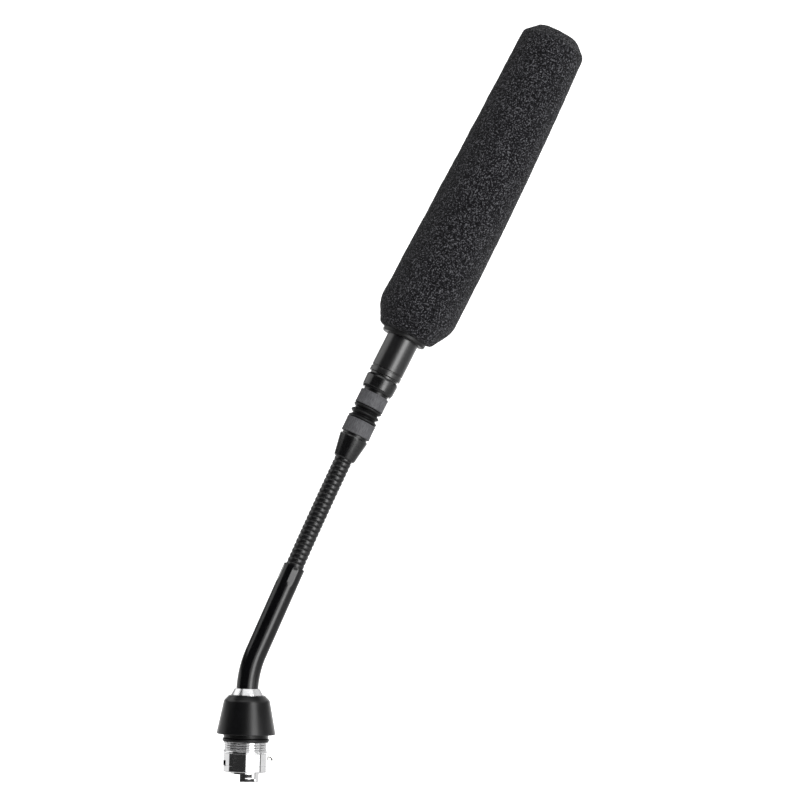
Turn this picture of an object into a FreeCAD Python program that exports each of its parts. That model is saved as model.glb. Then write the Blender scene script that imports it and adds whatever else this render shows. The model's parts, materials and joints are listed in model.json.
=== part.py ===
import FreeCAD, Part
import math
import os

# A gooseneck podium microphone that screws into a table bushing. Millimetres, +Z up.
# The origin is on the connector's axis, at the skirt's seating face. The tube, the neck and the
# microphone lean towards +X, and they all lie in the XZ plane.

# ---- driving dimensions -------------------------------------------------------------------------

FIT = 0.1                 # radial running clearance between turning metal parts
SOFT_GAP = 0.3            # clearance round foam

# connector, measured down from the seating face
SHELL_R = 9.4
SHELL_BORE_R = 8.1
SHELL_TOP_Z = -7.7
SHELL_BOTTOM_Z = -15.5
SHELL_GROOVE_Z = -12.9
SPIGOT_R = 7.65           # the shell's long neck, which the locking sleeve turns on
SPIGOT_BORE_R = 6.2
SPIGOT_TOP_Z = 11.0
NOSE_R = 6.3
NOSE_BORE_R = 5.4
NOSE_BOTTOM_Z = -16.4
TONGUE_BOTTOM_Z = -19.5
TONGUE_HALF_ANGLE = 42.0
NOSE_TURN = 12.0          # degrees from -Y towards +X
KEY_SLOT_TURN = 12.8      # degrees from -X towards -Y
WINDOW_X = -3.15
WINDOW_Z = -17.6
WINDOW_WIDTH = 3.5
WINDOW_HEIGHT = 1.1
NOTCH_X = -3.9
NOTCH_Z = -19.1
NOTCH_WIDTH = 7.9
NOTCH_HEIGHT = 0.8
PIN_R = 1.18
PIN_CIRCLE_R = 3.81
PIN_COUNT = 3
PIN_BOTTOM_Z = -16.1
PIN_TOP_Z = -6.6
SOLDER_CUP_R = 0.75
SOLDER_CUP_DEPTH = 1.8
INSULATOR_BOTTOM_Z = -15.2
INSULATOR_HEIGHT = 5.6
TAB_THICKNESS = 0.4
TAB_HALF_ANGLE = 39.0

# locking collar
THREAD_R = 9.55
THREAD_PITCH = 1.0
THREAD_DEPTH = 0.5
THREAD_TOP_Z = -3.1
THREAD_RIDGES = 4
SLEEVE_BOTTOM_Z = -7.45
SLEEVE_R = 8.6
O_RING_SEAT_R = 8.2
O_RING_R = 9.7
WASHER_R = 9.25
WASHER_BOTTOM_Z = -1.6
WASHER_RECESS_R = 9.9
WASHER_RECESS_DEPTH = 0.4
SKIRT_BASE_R = 12.25
SKIRT_SHOULDER_R = 9.5
SKIRT_SHOULDER_Z = 13.95
SKIRT_TOP_R = 7.35
SKIRT_TOP_Z = 16.0
NUT_BASE_R = 6.9
NUT_TOP_R = 5.3
NUT_TOP_Z = 18.9

# bent tube
TUBE_R = 4.575
TUBE_BORE_R = 3.8
TUBE_BOTTOM_Z = -1.0
BEND_START_Z = 17.3
BEND_RADIUS = 42.0
TUBE_TILT = 22.7          # degrees from +Z towards +X
TUBE_STRAIGHT = 39.2
CRIMP_LENGTH = 7.5
CRIMP_DEPTH = 0.18

# wound neck
NECK_LENGTH = 49.2
NECK_ARC = 1.6            # degrees that the neck turns at rest
NECK_JOINTS = 12
NECK_R = 3.8
NECK_ROOT_R = 3.25        # bottom of the groove between two turns
NECK_BORE_R = 1.75
BALL_R = 2.7              # inner lip of one turn, nested in the next turn
BALL_REACH = 0.9
SOCKET_R = 2.8
SOCKET_DEPTH = 1.45
GAP_ANGLE = 6.2           # each face of the groove at a joint slopes by this, so that it can close
GAP_FLAT = 0.06

# head, measured along its axis from the bottom of the ferrule
FERRULE_LENGTH = 10.0
FERRULE_BASE_R = 4.6
FERRULE_TOP_R = 6.1
BAND_R = 6.25
BAND_BORE_R = 4.6
LOWER_BAND = (11.1, 17.4)
UPPER_BAND = (23.9, 29.9)
ISOLATOR_PIVOT = 20.65
ISOLATOR_KINK = 1.4       # degrees that the loaded rubber leans at rest
RIB_R = 6.2
RIB_ROOT_R = 5.0
RIB_PITCH = 2.5
RIBS_LENGTH = 6.3
RIBS_BORE_R = 2.4
STUD_R = 5.4
STUD_BORE_R = 2.0
COUPLING = (31.1, 37.4)
COUPLING_BASE_R = 6.55
COUPLING_TOP_R = 6.95
LIP = (38.4, 40.6)
BODY_R = 6.9
BODY_BORE_R = 6.1
DISC_START = 47.5
DISC_THICKNESS = 2.0
DISC_CONTACT_R = 0.58
DISC_CONTACT_CIRCLE_R = 3.5
BOARD_START = 52.0
BOARD_WIDTH = 9.6
BOARD_LENGTH = 18.0
BOARD_THICKNESS = 1.0
TRANSFORMER_WIDTH = 6.0
TRANSFORMER_DEPTH = 2.4
CAPSULE_START = 71.5
CAPSULE_END = 79.5
CAPSULE_R = 5.35
CAPSULE_WALL = 0.6
CAPSULE_FLOOR = 0.8
BACK_PLATE_R = 4.2
BACK_PLATE_START = 76.4
BACK_PLATE_THICKNESS = 1.2
SPACER_THICKNESS = 0.15
MEMBRANE_THICKNESS = 0.1
MEMBRANE_OPEN_R = 4.1
BODY_START = 41.0
BODY_END = 80.0
TUBE_FRONT = 188.0        # front end of the interference tube
SLOT_ROWS = 2
SLOTS_PER_ROW = 14
SLOT_LENGTH = 5.0
SLOT_WIDTH = 2.0
SLOT_START = 88.0
SLOT_PITCH = 7.0

# windscreen, measured along the same axis
RING = (55.8, 57.6)
RING_R = 9.6
RING_SLEEVE_R = 8.0
RING_SLEEVE_END = 66.0
FOAM_BASE_R = 11.9
FOAM_BASE = 58.4
FOAM_MAX_R = 16.65
FOAM_MAX = 67.0
FOAM_TIP_R = 13.95
FOAM_TIP = 202.2
FOAM_TIP_ROUND = 8.4
FOAM_BORE_END = 190.5

CABLE_R = 1.5
CABLE_BOTTOM_Z = -6.2

# ---- construction helpers -----------------------------------------------------------------------

Z_AXIS = FreeCAD.Vector(0, 0, 1)
Y_AXIS = FreeCAD.Vector(0, 1, 0)
ORIGIN = FreeCAD.Vector(0, 0, 0)


def section_point(radius, height):
    """A point of a turned section, which is drawn in the XZ plane."""
    return FreeCAD.Vector(radius, 0, height)


def turned(points):
    """A solid of revolution about Z. A point is (radius, height); an entry of four numbers is an arc
    that passes through the first pair and ends at the second."""
    first = section_point(*points[0])
    last = first
    edges = []
    for entry in list(points[1:]) + [points[0]]:
        end = section_point(*entry[-2:])
        if len(entry) == 4:
            edges.append(Part.Arc(last, section_point(*entry[:2]), end).toShape())
        else:
            edges.append(Part.LineSegment(last, end).toShape())
        last = end
    return Part.Face(Part.Wire(edges)).revolve(ORIGIN, Z_AXIS, 360)


def ring(inner, outer, low, high):
    return turned([(inner, low), (outer, low), (outer, high), (inner, high)])


def bevelled_ring(inner, outer, low, high, bevel):
    """A ring whose two outer edges are bevelled."""
    return turned([
        (inner, low), (outer - bevel, low), (outer, low + bevel),
        (outer, high - bevel), (outer - bevel, high), (inner, high),
    ])


def arc_height(radius, r):
    """Height at radius r on a sphere about the origin."""
    return math.sqrt(radius * radius - r * r)


def sphere_middle(radius, low, high):
    """The point of a sphere's section halfway in height between two heights."""
    middle = (low + high) / 2
    return math.sqrt(radius * radius - middle * middle), middle


class Axis:
    """A point of the leaning centreline with the direction that the centreline has there."""

    def __init__(self, x, z, tilt):
        self.x = x
        self.z = z
        self.tilt = tilt

    def direction(self):
        lean = math.radians(self.tilt)
        return FreeCAD.Vector(math.sin(lean), 0, math.cos(lean))

    def point(self, along=0.0):
        return FreeCAD.Vector(self.x, 0, self.z) + self.direction() * along

    def moved(self, along, turn=0.0):
        place = self.point(along)
        return Axis(place.x, place.z, self.tilt + turn)

    def put(self, shape):
        """Stands a shape, built about Z from the origin, on this point of the centreline."""
        place = FreeCAD.Placement(self.point(), FreeCAD.Rotation(Y_AXIS, self.tilt))
        placed = shape.copy()
        placed.Placement = place.multiply(placed.Placement)
        return placed


def bend_end():
    """Where the tube's bend ends and its straight upper part begins."""
    lean = math.radians(TUBE_TILT)
    return Axis(BEND_RADIUS * (1 - math.cos(lean)), BEND_START_Z + BEND_RADIUS * math.sin(lean), TUBE_TILT)


def neck_axes():
    """The joints of the neck, from the tube to the ferrule, each with the direction above it."""
    spacing = NECK_LENGTH / NECK_JOINTS
    turn = NECK_ARC / NECK_JOINTS
    axes = [bend_end().moved(TUBE_STRAIGHT).moved(spacing / 2, turn)]
    while len(axes) < NECK_JOINTS:
        axes.append(axes[-1].moved(spacing, turn))
    return axes


def ferrule_axis():
    return neck_axes()[-1].moved(NECK_LENGTH / NECK_JOINTS / 2)


def head_axis():
    """The head's axis, with its zero where the ferrule's bottom would lie along that axis."""
    pivot = ferrule_axis().moved(ISOLATOR_PIVOT, ISOLATOR_KINK)
    return pivot.moved(-ISOLATOR_PIVOT)


def bent_tube(radius, low):
    """A round bar along the tube's centreline, from height low to the tube's upper end."""
    end = bend_end()
    lean = math.radians(TUBE_TILT / 2)
    sideways = BEND_RADIUS * (1 - math.cos(lean))
    middle = FreeCAD.Vector(sideways, 0, BEND_START_Z + BEND_RADIUS * math.sin(lean))
    start = FreeCAD.Vector(0, 0, BEND_START_Z)
    path = Part.Wire([
        Part.LineSegment(FreeCAD.Vector(0, 0, low), start).toShape(),
        Part.Arc(start, middle, end.point()).toShape(),
        Part.LineSegment(end.point(), end.point(TUBE_STRAIGHT)).toShape(),
    ])
    outline = Part.Wire([Part.Circle(FreeCAD.Vector(0, 0, low), Z_AXIS, radius).toShape()])
    return path.makePipeShell([outline], True, False)


# ---- connector ----------------------------------------------------------------------------------

def connector_shell():
    """Plated barrel with a fine groove, and the spigot that the sleeve turns on."""
    groove = 0.15
    slot_width = 2.2
    key_height = 2.1
    spring_low = -10.05
    spring_height = 1.2
    through = 3.0
    shell = turned([
        (SHELL_BORE_R, SHELL_BOTTOM_Z), (SHELL_R - 0.3, SHELL_BOTTOM_Z), (SHELL_R, SHELL_BOTTOM_Z + 0.3),
        (SHELL_R, SHELL_GROOVE_Z - groove), (SHELL_R - groove, SHELL_GROOVE_Z),
        (SHELL_R, SHELL_GROOVE_Z + groove), (SHELL_R, SHELL_TOP_Z - 0.2), (SHELL_R - 0.2, SHELL_TOP_Z),
        (SPIGOT_R, SHELL_TOP_Z), (SPIGOT_R, SPIGOT_TOP_Z), (SPIGOT_BORE_R, SPIGOT_TOP_Z),
        (SPIGOT_BORE_R, SHELL_TOP_Z), (SHELL_BORE_R, SHELL_TOP_Z - 1.5),
    ])
    key_corner = FreeCAD.Vector(-SHELL_R - 1, -slot_width / 2, SHELL_GROOVE_Z)
    key_slot = Part.makeBox(through, slot_width, key_height, key_corner)
    key_slot.rotate(ORIGIN, Z_AXIS, KEY_SLOT_TURN)
    spring_corner = FreeCAD.Vector(SHELL_R - 2, -slot_width / 2, spring_low)
    spring_slot = Part.makeBox(through, slot_width, spring_height, spring_corner)
    return shell.cut(key_slot).cut(spring_slot)


def ground_spring():
    """Thin sprung hook that comes out of the shell and touches the bushing."""
    width = 1.6
    outline = [
        (7.6, -9.65), (9.3, -9.2), (10.6, -9.35), (11.35, -10.1), (11.45, -10.9),
        (11.1, -10.9), (11.0, -10.25), (10.45, -9.7), (9.3, -9.55), (7.75, -9.95),
    ]
    corners = [FreeCAD.Vector(r, -width / 2, z) for r, z in outline + outline[:1]]
    return Part.Face(Part.makePolygon(corners)).extrude(Y_AXIS * width)


def outside_sector(half_angle, low, high):
    """All that is near the axis but outside a sector on the -Y side, between two heights."""
    reach = 20.0
    side = reach * math.sin(math.radians(half_angle))
    back = -reach * math.cos(math.radians(half_angle))
    away = [
        (0, 0), (side, back), (reach, back), (reach, reach), (-reach, reach), (-reach, back), (-side, back),
    ]
    corners = [FreeCAD.Vector(x, y, low) for x, y in away + away[:1]]
    return Part.Face(Part.makePolygon(corners)).extrude(Z_AXIS * (high - low))


def keyed_nose():
    """Plated inner ring whose tongue, near the -Y side, keys the plug in its socket."""
    flange_low = SHELL_BOTTOM_Z + 0.2
    nose = turned([
        (NOSE_BORE_R, TONGUE_BOTTOM_Z), (NOSE_R - 0.2, TONGUE_BOTTOM_Z), (NOSE_R, TONGUE_BOTTOM_Z + 0.2),
        (NOSE_R, flange_low), (SHELL_BORE_R - 0.05, flange_low), (SHELL_BORE_R - 0.05, flange_low + 1.2),
        (NOSE_R, flange_low + 1.2), (NOSE_R, -9.2), (NOSE_BORE_R, -9.2),
    ])
    nose = nose.cut(outside_sector(TONGUE_HALF_ANGLE, TONGUE_BOTTOM_Z - 1, NOSE_BOTTOM_Z))
    window = Part.makeBox(WINDOW_WIDTH, 3, WINDOW_HEIGHT, FreeCAD.Vector(WINDOW_X, -NOSE_R - 1, WINDOW_Z))
    notch = Part.makeBox(NOTCH_WIDTH, 0.6, NOTCH_HEIGHT, FreeCAD.Vector(NOTCH_X, -NOSE_R - 0.1, NOTCH_Z))
    nose = nose.cut(window).cut(notch)
    nose.rotate(ORIGIN, Z_AXIS, NOSE_TURN)
    return nose


def around(shape, count, radius):
    """Copies of a shape, moved out along +X, spaced evenly round Z."""
    copies = []
    for k in range(count):
        copy = shape.copy()
        copy.translate(FreeCAD.Vector(radius, 0, 0))
        copy.rotate(ORIGIN, Z_AXIS, 90 + 360.0 * k / count)
        copies.append(copy)
    return Part.makeCompound(copies)


def contact_pins():
    """Contacts with a solder cup at the top."""
    cup_floor = PIN_TOP_Z - SOLDER_CUP_DEPTH
    pin = turned([
        (0, PIN_BOTTOM_Z), (PIN_R - 0.3, PIN_BOTTOM_Z), (PIN_R, PIN_BOTTOM_Z + 0.3), (PIN_R, PIN_TOP_Z),
        (SOLDER_CUP_R, PIN_TOP_Z), (SOLDER_CUP_R, cup_floor), (0, cup_floor),
    ])
    return around(pin, PIN_COUNT, PIN_CIRCLE_R)


def pin_insulator():
    """Disc that holds the contacts, with a tab that lines the tongue and closes its window."""
    body = Part.makeCylinder(NOSE_BORE_R - 0.02, INSULATOR_HEIGHT, FreeCAD.Vector(0, 0, INSULATOR_BOTTOM_Z))
    hole = Part.makeCylinder(PIN_R + 0.02, INSULATOR_HEIGHT + 2, FreeCAD.Vector(0, 0, INSULATOR_BOTTOM_Z - 1))
    body = body.cut(around(hole, PIN_COUNT, PIN_CIRCLE_R))
    tab = ring(NOSE_BORE_R - TAB_THICKNESS, NOSE_BORE_R - 0.02, TONGUE_BOTTOM_Z + 0.2, INSULATOR_BOTTOM_Z)
    tab = tab.cut(outside_sector(TAB_HALF_ANGLE, TONGUE_BOTTOM_Z, INSULATOR_BOTTOM_Z + 1))
    tab.rotate(ORIGIN, Z_AXIS, NOSE_TURN)
    return body.fuse(tab).removeSplitter()


def collar_nut():
    """Conical plated nut that holds the tube down and keeps the skirt from lifting."""
    base = SKIRT_TOP_Z + FIT
    return turned([
        (TUBE_R + 0.03, 7.5), (SPIGOT_BORE_R, 7.5), (SPIGOT_BORE_R, base), (NUT_BASE_R - 0.15, base),
        (NUT_BASE_R, base + 0.25), (NUT_TOP_R + 0.2, NUT_TOP_Z - 0.1), (NUT_TOP_R, NUT_TOP_Z),
        (TUBE_R + 0.03, NUT_TOP_Z),
    ])


def connector():
    return {
        "connector_shell": connector_shell(),
        "ground_spring": ground_spring(),
        "keyed_nose": keyed_nose(),
        "pin_insulator": pin_insulator(),
        "contact_pins": contact_pins(),
        "cable_clamp": bevelled_ring(CABLE_R + 0.02, SPIGOT_BORE_R - 0.05, -6.0, -3.5, 0.3),
        "tube_anchor_bush": bevelled_ring(TUBE_R + 0.02, SPIGOT_BORE_R - 0.05, 0.5, 7.4, 0.4),
        "collar_nut": collar_nut(),
    }


# ---- locking collar -----------------------------------------------------------------------------

def threaded_sleeve():
    """Plated sleeve with the outside thread, drawn as rings of the thread's pitch and depth."""
    root = THREAD_R - THREAD_DEPTH
    points = [
        (SPIGOT_R + FIT, SLEEVE_BOTTOM_Z), (THREAD_R - 0.15, SLEEVE_BOTTOM_Z),
        (THREAD_R, SLEEVE_BOTTOM_Z + 0.1), (THREAD_R, SLEEVE_BOTTOM_Z + 0.3),
    ]
    for k in range(THREAD_RIDGES):
        crest = THREAD_TOP_Z - (THREAD_RIDGES - k - 0.5) * THREAD_PITCH
        points += [(root, crest - THREAD_PITCH / 2), (THREAD_R, crest - 0.07), (THREAD_R, crest + 0.07)]
    points += [
        (root, THREAD_TOP_Z), (O_RING_SEAT_R, THREAD_TOP_Z), (O_RING_SEAT_R, WASHER_BOTTOM_Z),
        (SLEEVE_R, WASHER_BOTTOM_Z), (SLEEVE_R, SPIGOT_TOP_Z), (SPIGOT_R + FIT, SPIGOT_TOP_Z),
    ]
    return turned(points)


def o_ring():
    middle_r = (O_RING_SEAT_R + O_RING_R) / 2
    middle_z = (THREAD_TOP_Z + WASHER_BOTTOM_Z) / 2
    section = (O_RING_R - O_RING_SEAT_R) / 2
    return Part.makeTorus(middle_r, section, FreeCAD.Vector(0, 0, middle_z), Z_AXIS)


def skirt_collar():
    """Conical grip with a rounded shoulder. Its flat underside, round a recess, seats on the bushing."""
    shoulder_mid = (SKIRT_SHOULDER_R - 0.55, SKIRT_SHOULDER_Z + 1.35)
    return turned([
        (SLEEVE_R, WASHER_RECESS_DEPTH), (WASHER_RECESS_R, WASHER_RECESS_DEPTH), (WASHER_RECESS_R, 0),
        (SKIRT_BASE_R - 0.3, 0), (SKIRT_BASE_R, 0.4), (SKIRT_SHOULDER_R, SKIRT_SHOULDER_Z),
        (*shoulder_mid, SKIRT_TOP_R, SKIRT_TOP_Z), (SPIGOT_BORE_R + FIT, SKIRT_TOP_Z),
        (SPIGOT_BORE_R + FIT, SPIGOT_TOP_Z + 1), (SLEEVE_R, SPIGOT_TOP_Z + 1),
    ])


def locking_collar():
    return {
        "threaded_sleeve": threaded_sleeve(),
        "sleeve_o_ring": o_ring(),
        "sleeve_washer": bevelled_ring(SLEEVE_R, WASHER_R, WASHER_BOTTOM_Z, WASHER_RECESS_DEPTH, 0.15),
        "skirt_collar": skirt_collar(),
    }


# ---- tube and neck ------------------------------------------------------------------------------

def lower_tube():
    """Bent tube, pressed flat on four sides where it grips the neck."""
    tube = bent_tube(TUBE_R, TUBE_BOTTOM_Z).cut(bent_tube(TUBE_BORE_R, TUBE_BOTTOM_Z))
    top = bend_end().moved(TUBE_STRAIGHT)
    for k in range(4):
        flat = Part.makeBox(2, 8, CRIMP_LENGTH, FreeCAD.Vector(TUBE_R - CRIMP_DEPTH, -4, -1 - CRIMP_LENGTH))
        flat.rotate(ORIGIN, Z_AXIS, 90 * k)
        tube = tube.cut(top.put(flat))
    return tube


def groove_face(r):
    """Distance of a joint's groove face from the joint, at radius r."""
    return GAP_FLAT + r * math.tan(math.radians(GAP_ANGLE))


def ball_end(joint):
    """Section of a turn's upper end, up the outside: the groove face, then the lip that nests above."""
    low = groove_face(BALL_R)
    rim = math.sqrt(BALL_R ** 2 - low ** 2)
    top_r = arc_height(BALL_R, BALL_REACH)
    return [
        (NECK_R, joint - groove_face(NECK_R)), (rim, joint - low),
        (BALL_R, joint, top_r, joint + BALL_REACH), (NECK_BORE_R, joint + BALL_REACH),
    ]


def socket_end():
    """Section of a turn's lower end about a joint at zero, from the bore out to the groove face."""
    low = groove_face(SOCKET_R)
    rim = math.sqrt(SOCKET_R ** 2 - low ** 2)
    return [
        (NECK_BORE_R, SOCKET_DEPTH), (arc_height(SOCKET_R, SOCKET_DEPTH), SOCKET_DEPTH),
        (*sphere_middle(SOCKET_R, low, SOCKET_DEPTH), rim, low), (NECK_R, groove_face(NECK_R)),
    ]


def neck_link():
    """Two turns of the winding as one rigid piece, about its lower joint."""
    spacing = NECK_LENGTH / NECK_JOINTS
    middle = spacing / 2
    groove = [(NECK_R, middle - 0.35), (NECK_ROOT_R, middle), (NECK_R, middle + 0.35)]
    return turned(socket_end() + groove + ball_end(spacing))


def neck_lower_end():
    """First turn, and the stem that the tube's crimp grips. Zero is the tube's end."""
    joint = NECK_LENGTH / NECK_JOINTS / 2
    stem = TUBE_BORE_R - 0.02
    return turned([(NECK_BORE_R, -10), (stem, -10), (stem, 0.1), (NECK_R, 0.3)] + ball_end(joint))


def neck_upper_end():
    """Last turn, and the stem that the ferrule grips, about the last joint."""
    joint = NECK_LENGTH / NECK_JOINTS / 2
    top = joint + 6.0
    stem = NECK_ROOT_R - 0.05
    return turned(socket_end() + [(NECK_R, joint - 0.15), (stem, joint), (stem, top), (NECK_BORE_R, top)])


def tube_and_neck():
    joints = neck_axes()
    nodes = {
        "lower_tube": lower_tube(),
        "neck_lower_end": bend_end().moved(TUBE_STRAIGHT).put(neck_lower_end()),
        "neck_upper_end": joints[-1].put(neck_upper_end()),
    }
    for k, joint in enumerate(joints[:-1], start=1):
        nodes[f"neck_turns_{k:02d}"] = joint.put(neck_link())
    return nodes


# ---- ferrule and isolator -----------------------------------------------------------------------

def ferrule():
    """Cone that ends the neck, bored for the neck's stem and for the isolator's stud."""
    stem_end = 6.1
    return turned([
        (NECK_ROOT_R, 0), (FERRULE_BASE_R - 0.3, 0), (FERRULE_BASE_R, 0.3),
        (FERRULE_TOP_R, FERRULE_LENGTH - 0.25), (FERRULE_TOP_R - 0.25, FERRULE_LENGTH),
        (BAND_BORE_R - 0.6, FERRULE_LENGTH), (BAND_BORE_R - 0.6, stem_end), (NECK_ROOT_R, stem_end),
    ])


def ferrule_stud():
    """Stud that screws into the cone and carries the rubber's lower band."""
    return turned([
        (STUD_BORE_R, 6.3), (BAND_BORE_R - 0.62, 6.3), (BAND_BORE_R - 0.62, FERRULE_LENGTH),
        (STUD_R, FERRULE_LENGTH), (STUD_R, LOWER_BAND[0]), (BAND_BORE_R, LOWER_BAND[0]),
        (BAND_BORE_R, LOWER_BAND[1] - 0.2), (STUD_BORE_R, LOWER_BAND[1] - 0.2),
    ])


def isolator_ribs():
    """Rubber neck with two ring-shaped ribs, about its middle."""
    half = RIBS_LENGTH / 2
    points = [(RIBS_BORE_R, -half), (RIB_ROOT_R + 0.2, -half), (RIB_ROOT_R, -half + 0.3)]
    for centre in (-RIB_PITCH / 2, RIB_PITCH / 2):
        points += [
            (RIB_ROOT_R, centre - 0.95), (RIB_R - 0.1, centre - 0.35), (RIB_R, centre - 0.2),
            (RIB_R, centre + 0.2), (RIB_R - 0.1, centre + 0.35), (RIB_ROOT_R, centre + 0.95),
        ]
    points += [(RIB_ROOT_R, half - 0.3), (RIB_ROOT_R + 0.2, half), (RIBS_BORE_R, half)]
    return turned(points)


def head_stud():
    """Stud above the rubber: its collar shows under the coupling ring, its thread holds the body."""
    return turned([
        (STUD_BORE_R, UPPER_BAND[0] + 0.2), (BAND_BORE_R, UPPER_BAND[0] + 0.2), (BAND_BORE_R, UPPER_BAND[1]),
        (STUD_R, UPPER_BAND[1]), (STUD_R, COUPLING[0] - FIT), (STUD_R - 0.3, COUPLING[0] - FIT),
        (STUD_R - 0.3, 44.0), (STUD_BORE_R, 44.0),
    ])


def isolator():
    lower = ferrule_axis()
    upper = head_axis()
    pivot = lower.moved(ISOLATOR_PIVOT, ISOLATOR_KINK / 2)
    return {
        "neck_ferrule": lower.put(ferrule()),
        "ferrule_stud": lower.put(ferrule_stud()),
        "isolator_lower_band": lower.put(bevelled_ring(BAND_BORE_R, BAND_R, *LOWER_BAND, 0.3)),
        "isolator_ribs": pivot.put(isolator_ribs()),
        "isolator_upper_band": upper.put(bevelled_ring(BAND_BORE_R, BAND_R, *UPPER_BAND, 0.3)),
        "head_stud": upper.put(head_stud()),
    }


# ---- microphone ---------------------------------------------------------------------------------

def coupling_ring():
    """Captive ring that a hand turns to lock the microphone on the neck."""
    low, high = COUPLING
    bore = STUD_R - 0.3 + FIT
    return turned([
        (bore, low), (COUPLING_BASE_R - 0.2, low), (COUPLING_BASE_R, low + 0.2),
        (COUPLING_TOP_R, high - 0.5), (COUPLING_TOP_R - 0.4, high), (bore, high),
    ])


def body_lip():
    """End ring of the body. It screws on the stud, and its spigot goes up inside the body tube."""
    low, high = LIP
    spigot = BODY_BORE_R - 0.02
    return turned([
        (STUD_R - 0.28, COUPLING[1] + 0.3), (6.0, COUPLING[1] + 0.3), (6.0, low), (BODY_R - 0.25, low),
        (BODY_R, low + 0.25), (BODY_R, high - 0.15), (BODY_R - 0.15, high), (6.4, high),
        (6.4, BODY_START), (spigot, BODY_START), (spigot, 46.0), (STUD_R - 0.28, 46.0),
    ])


def interference_tube():
    """Front tube with rows of side slots. Its rear end goes inside the body tube."""
    tube = turned([
        (BODY_BORE_R - 0.7, BODY_END - 6), (BODY_BORE_R - 0.02, BODY_END - 6), (BODY_BORE_R - 0.02, BODY_END),
        (BODY_R, BODY_END), (BODY_R, TUBE_FRONT), (BODY_BORE_R, TUBE_FRONT), (BODY_BORE_R, BODY_END + 1),
        (BODY_BORE_R - 0.7, BODY_END + 1),
    ])
    slots = []
    for row in range(SLOT_ROWS):
        for k in range(SLOTS_PER_ROW):
            low = SLOT_START + k * SLOT_PITCH
            slot = Part.makeBox(4, SLOT_WIDTH, SLOT_LENGTH, FreeCAD.Vector(4.5, -SLOT_WIDTH / 2, low))
            slot.rotate(ORIGIN, Z_AXIS, 90 + 360.0 * row / SLOT_ROWS)
            slots.append(slot)
    return tube.cut(Part.makeCompound(slots))


def front_grille():
    """Cap over the tube's open end, pierced by a ring of holes and a centre hole."""
    cap = turned([
        (0, TUBE_FRONT), (BODY_R, TUBE_FRONT), (BODY_R, TUBE_FRONT + 0.8), (BODY_R - 0.5, TUBE_FRONT + 1.3),
        (0, TUBE_FRONT + 1.3),
    ])
    hole = Part.makeCylinder(0.9, 3, FreeCAD.Vector(0, 0, TUBE_FRONT - 1))
    return cap.cut(around(hole, 6, 3.6)).cut(hole)


def contact_disc():
    """Insulating disc at the rear of the body, with three spring contacts through it."""
    below = FreeCAD.Vector(0, 0, DISC_START - 1)
    disc = Part.makeCylinder(BODY_BORE_R - 0.02, DISC_THICKNESS, FreeCAD.Vector(0, 0, DISC_START))
    hole = Part.makeCylinder(DISC_CONTACT_R + 0.02, DISC_THICKNESS + 2, below)
    cable_hole = Part.makeCylinder(CABLE_R + 0.1, DISC_THICKNESS + 2, below)
    return disc.cut(around(hole, PIN_COUNT, DISC_CONTACT_CIRCLE_R)).cut(cable_hole)


def disc_contacts():
    contact = Part.makeCylinder(DISC_CONTACT_R, DISC_THICKNESS + 1.6, FreeCAD.Vector(0, 0, DISC_START - 0.9))
    return around(contact, PIN_COUNT, DISC_CONTACT_CIRCLE_R)


def block(width, depth, height, left, back, start):
    """A box whose lowest corner is (left, back, start)."""
    return Part.makeBox(width, depth, height, FreeCAD.Vector(left, back, start))


def capsule():
    """The capsule's pieces, from its housing at the rear to the ring that clamps its membrane."""
    floor = CAPSULE_START + CAPSULE_FLOOR
    inner = CAPSULE_R - CAPSULE_WALL
    piece_r = inner - 0.02
    plate_top = BACK_PLATE_START + BACK_PLATE_THICKNESS
    membrane = plate_top + SPACER_THICKNESS
    clamp = membrane + MEMBRANE_THICKNESS
    return {
        "capsule_housing": turned([
            (0, CAPSULE_START), (CAPSULE_R, CAPSULE_START), (CAPSULE_R, CAPSULE_END), (inner, CAPSULE_END),
            (inner, floor), (0, floor),
        ]),
        "capsule_back_plate": Part.makeCylinder(
            BACK_PLATE_R, BACK_PLATE_THICKNESS, FreeCAD.Vector(0, 0, BACK_PLATE_START)),
        "capsule_insulator": turned([
            (0, floor), (piece_r, floor), (piece_r, plate_top), (BACK_PLATE_R + 0.05, plate_top),
            (BACK_PLATE_R + 0.05, BACK_PLATE_START), (0, BACK_PLATE_START),
        ]),
        "capsule_spacer": ring(MEMBRANE_OPEN_R, piece_r, plate_top, membrane),
        "capsule_membrane": Part.makeCylinder(piece_r, MEMBRANE_THICKNESS, FreeCAD.Vector(0, 0, membrane)),
        "membrane_ring": ring(MEMBRANE_OPEN_R, piece_r, clamp, CAPSULE_END - 0.2),
    }


def microphone():
    upper = head_axis()
    parts = {
        "body_lip": body_lip(),
        "body_tube": ring(BODY_BORE_R, BODY_R, BODY_START, BODY_END),
        "contact_disc": contact_disc(),
        "disc_contacts": disc_contacts(),
        "amplifier_board": block(BOARD_WIDTH, BOARD_THICKNESS, BOARD_LENGTH, -BOARD_WIDTH / 2,
                                 -BOARD_THICKNESS / 2, BOARD_START),
        "output_transformer": block(TRANSFORMER_WIDTH, TRANSFORMER_DEPTH, TRANSFORMER_WIDTH,
                                    -TRANSFORMER_WIDTH / 2, BOARD_THICKNESS / 2, BOARD_START + 2),
        **capsule(),
        "interference_tube": interference_tube(),
        "slot_cloth": ring(BODY_BORE_R - 0.25, BODY_BORE_R - 0.02, BODY_END + 4, TUBE_FRONT - 0.2),
        "front_grille": front_grille(),
        "coupling_ring": coupling_ring(),
    }
    return {name: upper.put(shape) for name, shape in parts.items()}


# ---- windscreen ---------------------------------------------------------------------------------

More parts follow.
